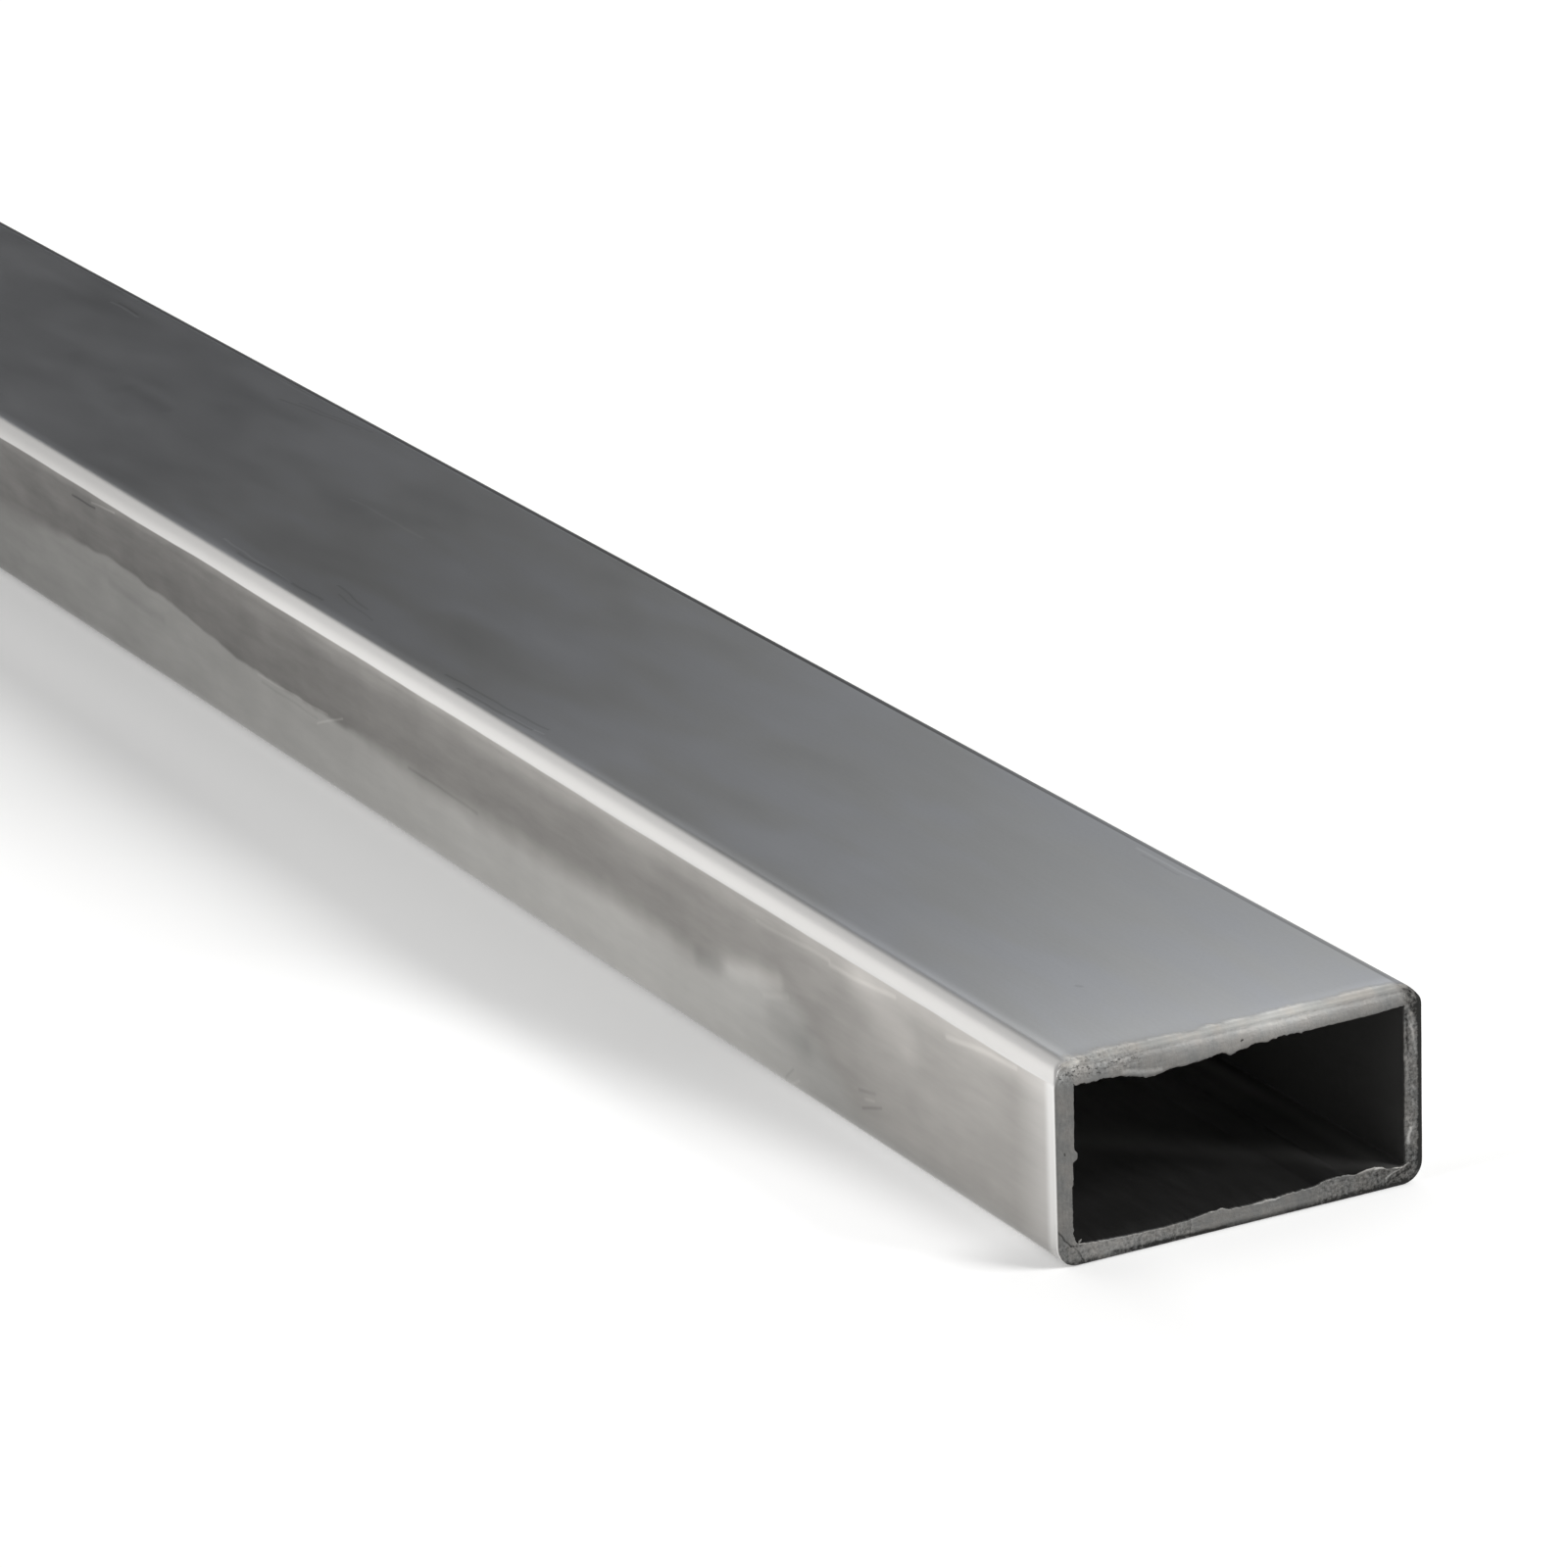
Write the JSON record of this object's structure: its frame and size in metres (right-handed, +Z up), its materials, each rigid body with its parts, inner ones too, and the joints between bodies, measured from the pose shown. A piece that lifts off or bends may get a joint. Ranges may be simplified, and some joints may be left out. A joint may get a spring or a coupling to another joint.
{
  "type": "rectangular hollow section",
  "caption": "Straight length of rectangular steel tube with rolled corners, square-cut burred ends and a weld bead inside, for welded or plugged frames.",
  "frame": {"origin": "on the floor under the middle of the tube, half way along its length and half way across its width", "axes": "+X along the length towards the end that is open to view, +Y across the wide walls, +Z up through the lower and upper wide walls"},
  "size_m": [1, 0.04, 0.02],
  "materials": {
    "mill_steel": "bare cold-rolled mill finish, lightly oiled, with fine scratches along the length and saw-cut ends"
  },
  "bodies": {
    "root": {"hollow_section": "mill_steel"}
  },
  "joints": []
}
